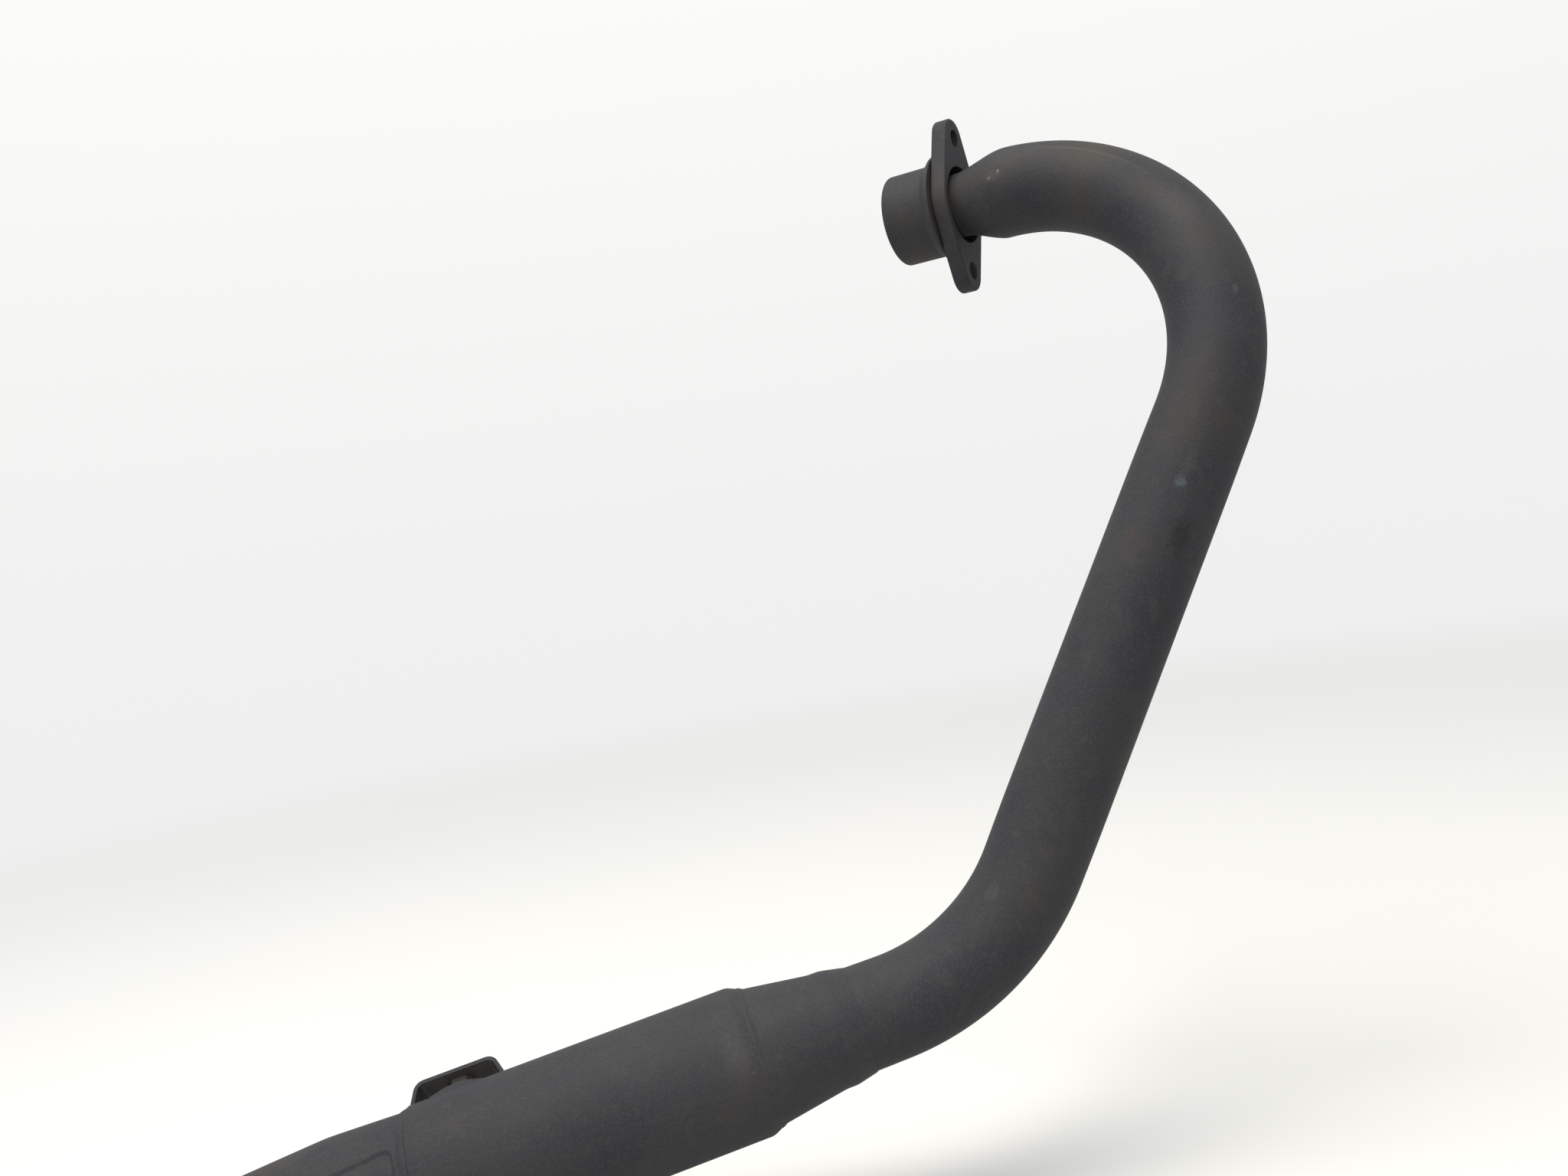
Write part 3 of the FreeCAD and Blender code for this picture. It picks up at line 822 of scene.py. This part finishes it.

# %% [markdown]
# ## Marks on the header and the can
# There are a few marks that a buyer would notice: chips near the flange, a pale line along the top of the
# first bend that is partly a scuff and partly a painted highlight, a dark stain half way down, a grey rub
# at the can's front edge. They could be painted by hand, but numbers are easier to check and to move. Each
# is an oval on the tape measure of its piece, with a soft edge that is torn by noise.

# %% Ovals with torn edges
TEAR_NOISE, TEAR_REACH, MARK_EDGE = (760.0, 4.0, 0.75), 3.0, (-0.5, 1.5)


def ovals(marks):
    """Marks as (tint, strength, centre, half size) on the tape.

    The reach is (x / half length)^2 + (y / half width)^2 plus a noise about zero, and the share of the tint
    is the strength times the square of a smooth step that falls as the reach grows.
    """

    def lay(paint, colour):
        along, around, tear = paint.tape("X"), paint.tape("Y"), paint.noise(*TEAR_NOISE)
        for tint, strength, centre, half in marks:
            out_x = (along - centre[0]) / half[0]
            out_y = (around - centre[1]) / half[1]
            reach = out_x * out_x + out_y * out_y + (tear - 0.5) * TEAR_REACH
            soft = 1 - paint.step(reach, *MARK_EDGE)
            colour = paint.mix(soft * soft * strength, colour, tint)
        return colour

    return lay


print("edges of marks are torn by noise of scale", TEAR_NOISE[0])

# %% [markdown]
# The list says, for each mark, its tint, how strongly it covers, where its middle lies along and around the
# metal, and half its size each way. The header also fades over the length where it nears the can.

# %% Marks, placed along the tape and around it
PALE = (0.16, 0.15, 0.13, 1)
# pale grey for scuffs, and for the painted highlight along the top of the first bend
SCUFF_AND_HIGHLIGHT = (0.075, 0.070, 0.060, 1)
RUBBED = (0.082, 0.082, 0.080, 1)
PALE_BLUE = (0.13, 0.18, 0.21, 1)
STAIN = (0.010, 0.008, 0.008, 1)
RUSTY = (0.050, 0.028, 0.022, 1)
FADE_RUN = (0.30, 0.54)


def spot(degrees, radius=PIPE_RADIUS):
    """Length around the metal at an angle about it."""
    return math.radians(degrees % 360) * radius


header_marks = [
    (SCUFF_AND_HIGHLIGHT, 0.35, (0.0448, spot(-103.0)), (0.0060, 0.0036)),
    (PALE, 0.70, (0.0477, spot(-107.3)), (0.0010, 0.0014)),
    (PALE, 0.50, (0.0428, spot(-100.7)), (0.0014, 0.0009)),
    # a thin pale line along the top of the first bend: partly a scuff, partly a painted highlight
    (SCUFF_AND_HIGHLIGHT, 0.40, (0.0880, spot(-137.5)), (0.0450, 0.0012)),
    (RUSTY, 0.30, (0.1270, spot(-120.0)), (0.0080, 0.0080)),
    (SCUFF_AND_HIGHLIGHT, 0.28, (0.1430, spot(-131.0)), (0.0160, 0.0100)),
    (RUSTY, 0.25, (0.1490, spot(-61.0)), (0.0080, 0.0060)),
    (PALE, 0.20, (0.1880, spot(-151.0)), (0.0024, 0.0018)),
    (PALE_BLUE, 0.30, (0.2717, spot(-136.8)), (0.0034, 0.0030)),
    (SCUFF_AND_HIGHLIGHT, 0.22, (0.2630, spot(-138.0)), (0.0110, 0.0036)),
    (STAIN, 0.85, (0.2930, spot(-159.0)), (0.0110, 0.0062)),
    (RUSTY, 0.45, (0.2970, spot(-106.9)), (0.0034, 0.0034)),
    (RUSTY, 0.40, (0.3011, spot(-124.7)), (0.0032, 0.0030)),
    (SCUFF_AND_HIGHLIGHT, 0.35, (0.4590, spot(-107.7)), (0.0060, 0.0040)),
]
can_marks = [
    (RUBBED, 0.24, (0.0510, spot(26.0, CAN_RADIUS)), (0.0070, 0.0120)),
    (PALE, 0.16, (0.0467, spot(10.0, CAN_RADIUS)), (0.0011, 0.0011)),
]
header_paint = heat_paint("worn_paint_header", MUFFLER_FADE, FADE_RUN, ovals(header_marks))
can_paint = heat_paint("worn_paint_can", MUFFLER_FADE, top=ovals(can_marks))
print("marks:", len(header_marks), "on the header,", len(can_marks), "on the can")

# %% [markdown]
# Wind and rain clean the outside of the bracket, but brown dust stays on the underside of its strip. The
# dust is also pale enough to stand in for light in the shaded tunnel under the strip, so it is partly
# painted light. It lies below the strip's middle, a little in from its edges and between its legs. Those
# three distances are measured out from the can's axis, across the strip and along the can, from the middle
# of the bracket.

# %% Dust and painted light under the bracket
# pale brown dust, made pale enough to paint light into the shaded tunnel under the strip
DUST_AND_FILL_LIGHT = (0.112, 0.101, 0.090, 1)
DUST_AND_LIGHT_RIM, DUST_AND_LIGHT_EDGE = 0.0004, 0.0003
bracket_out = math.cos(bracket_angle) * can_side + math.sin(bracket_angle) * can_up
bracket_across = np.cross(can_axis, bracket_out)
bracket_base = collar_front + bracket_middle * can_axis
underside = CAN_RADIUS + BRACKET_STAND_OFF


def dust_and_light_under_strip(paint, colour):
    """Dust and painted light by the product of three soft steps: under the strip, between the legs and in
    from the edges.

    A distance is (place - base) . direction, and the last two steps work on its square, so they are even.
    """
    inputs = {0: paint.place(), 1: tuple(bracket_base)}
    offset = paint.node("ShaderNodeVectorMath", {"operation": "SUBTRACT"}, inputs)

    def distance(direction):
        inputs = {0: offset, 1: tuple(direction)}
        return paint.node("ShaderNodeVectorMath", {"operation": "DOT_PRODUCT"}, inputs, "Value")

    def within(value, limit):
        return 1 - paint.step(value * value, (limit - DUST_AND_LIGHT_EDGE) ** 2, limit ** 2)

    below = 1 - paint.step(distance(bracket_out), underside + DUST_AND_LIGHT_EDGE / 2, underside + DUST_AND_LIGHT_EDGE)
    between = within(distance(can_axis), BRACKET_LENGTH / 2 - STRIP)
    inward = within(distance(bracket_across), BRACKET_WIDTH / 2 - DUST_AND_LIGHT_RIM)
    # the tunnel under the strip gets the pale dust tint, which also paints in the light that its shade
    # keeps out
    return paint.mix(below * between * inward, colour, DUST_AND_FILL_LIGHT)


bracket_paint = heat_paint("worn_paint_bracket", MUFFLER_FADE, top=dust_and_light_under_strip)
print("dust and painted light from", round(1000 * CAN_RADIUS, 1), "to", round(1000 * underside, 1), "mm out")

# %% [markdown]
# ## Bare steel inside
# The core and the baffles are never painted. Hot gas has given them straw and brown heat tints over
# drawn steel. Nobody sees them unless the muffler is cut open, so a few noises are enough.

# %% Bare steel
STEEL, STRAW = (0.36, 0.34, 0.32, 1), (0.34, 0.24, 0.13, 1)
SOOT = (0.05, 0.047, 0.045, 1)
TINT_NOISE, TINT_RANGE = (22.0,), (0.4, 0.7)
SOOT_NOISE, SOOT_RANGE, SOOT_SHARE = (13.0,), (0.5, 0.8), 0.7
DRAWN_NOISE, DRAWN_LEAST, DRAWN_SHARE = (700.0, 2.0), 0.35, 0.2

steel = Finish("tinted_steel", {"Metallic": 1.0})
tinted = steel.mix(steel.step(steel.noise(*TINT_NOISE), *TINT_RANGE), STEEL, STRAW)
sooty = steel.step(steel.noise(*SOOT_NOISE), *SOOT_RANGE) * SOOT_SHARE
steel.shade("Base Color", steel.mix(sooty, tinted, SOOT))
steel.shade("Roughness", DRAWN_LEAST + DRAWN_SHARE * steel.noise(*DRAWN_NOISE))

# %% [markdown]
# ## Give every piece its finish
# A real muffler is sprayed after welding, so everything outside gets paint and everything inside stays
# bare. The spigot and the flange sit near the port and have hardly faded.

# %% Finishes
INSIDE = ("core_tube", "front_baffle", "middle_baffle", "rear_baffle", "crossover_tubes")


def dress(material, *pieces):
    """The material becomes the only one of each piece."""
    for piece in pieces:
        piece.data.materials.clear()
        piece.data.materials.append(material)


dress(plain_paint, cone, rear_shell, end_cap, tail, *beads)
dress(bracket_paint, nodes["hanger_bracket"], nodes["hanger_nut"])
dress(port_paint, spigot, nodes["port_flange"])
dress(header_paint, header)
dress(can_paint, can)
dress(steel.material, *(nodes[name] for name in INSIDE))

# %% [markdown]
# ## Floor
# The muffler lies on something pale and plain. A curved backdrop would also hide the horizon, but a flat
# sheet that fades into the sky far out does it with one face.

# %% Floor
FLOOR_REACH, FLOOR_FADE = 8.0, (0.4, 2.4)
FLOOR_PALE, FLOOR_PALER = (0.53, 0.54, 0.54, 1), (0.56, 0.56, 0.56, 1)
FLOOR_NOISE, FLOOR_ROUGH = (3.0,), 0.9

corners = np.array([(-1, -1, 0), (1, -1, 0), (1, 1, 0), (-1, 1, 0)], float) * FLOOR_REACH
corners[:, 2] = cad_low.z
floor_mesh = bpy.data.meshes.new("floor")
floor_mesh.from_pydata(corners.tolist(), [], [(0, 1, 2, 3)])
floor = bpy.data.objects.new("floor", floor_mesh)
scene.collection.objects.link(floor)

pale = Finish("pale_floor", {"Roughness": FLOOR_ROUGH})
pale.shade("Base Color", pale.mix(pale.noise(*FLOOR_NOISE), FLOOR_PALE, FLOOR_PALER))
far = pale.node("ShaderNodeVectorMath", {"operation": "LENGTH"}, {0: pale.place()}, "Value")
clear = pale.node("ShaderNodeBsdfTransparent", {}, {})
shaded = Wire(pale, pale.shader.outputs[0])
faded = pale.node("ShaderNodeMixShader", {}, {0: pale.step(far, *FLOOR_FADE), 1: shaded, 2: clear})
pale.feed(pale.tree.nodes["Material Output"].inputs["Surface"], faded)
dress(pale.material, floor)
print("floor at", round(1000 * cad_low.z), "mm")

# %% [markdown]
# ## Light
# Paint this dark shows its shape only by what it mirrors, so the light is soft and comes from nearly
# everywhere. Many lamps could do it, but a pale sky does it with two colours.

# %% Sky
SKY_LOW, SKY_HIGH = (0.86, 0.87, 0.86, 1), (1.0, 1.0, 0.98, 1)
SKY_RANGE = (-0.1, 0.6)

world = bpy.data.worlds.new("pale_sky")
world.use_nodes = True
scene.world = world
scene.view_settings.view_transform = "Standard"
sky = Network(world.node_tree)
height = sky.part(sky.place("Generated"), "Z")
sky_colour = sky.mix(sky.step(height, *SKY_RANGE), SKY_LOW, SKY_HIGH)
sky.feed(world.node_tree.nodes["Background"].inputs["Color"], sky_colour)
print("sky:", world.name)

# %% [markdown]
# A little more light comes from above and from the left. A small lamp would draw hard shadows, so this one
# is large, and it is placed along the camera's directions, which is how one sees left and above.

# %% Lamp
LAMP_SIZE, LAMP_POWER, LAMP_COLOUR = 1.4, 54.0, (1.0, 0.95, 0.88)
LAMP_RIGHT, LAMP_UP, LAMP_BACK = -0.5, 1.75, 0.5

lamp_data = bpy.data.lights.new("top_left", "AREA")
lamp_data.size = LAMP_SIZE
lamp_data.energy = LAMP_POWER
lamp_data.color = LAMP_COLOUR
lamp = bpy.data.objects.new("top_left", lamp_data)
lamp_offset = camera_right * LAMP_RIGHT + CAMERA_UP * LAMP_UP - CAMERA_FORWARD * LAMP_BACK
lamp.location = (cad_low + cad_high) / 2 + lamp_offset
lamp.rotation_euler = (-lamp_offset).to_track_quat("-Z", "Y").to_euler()
scene.collection.objects.link(lamp)
print("lamp at", [round(value, 2) for value in lamp.location])
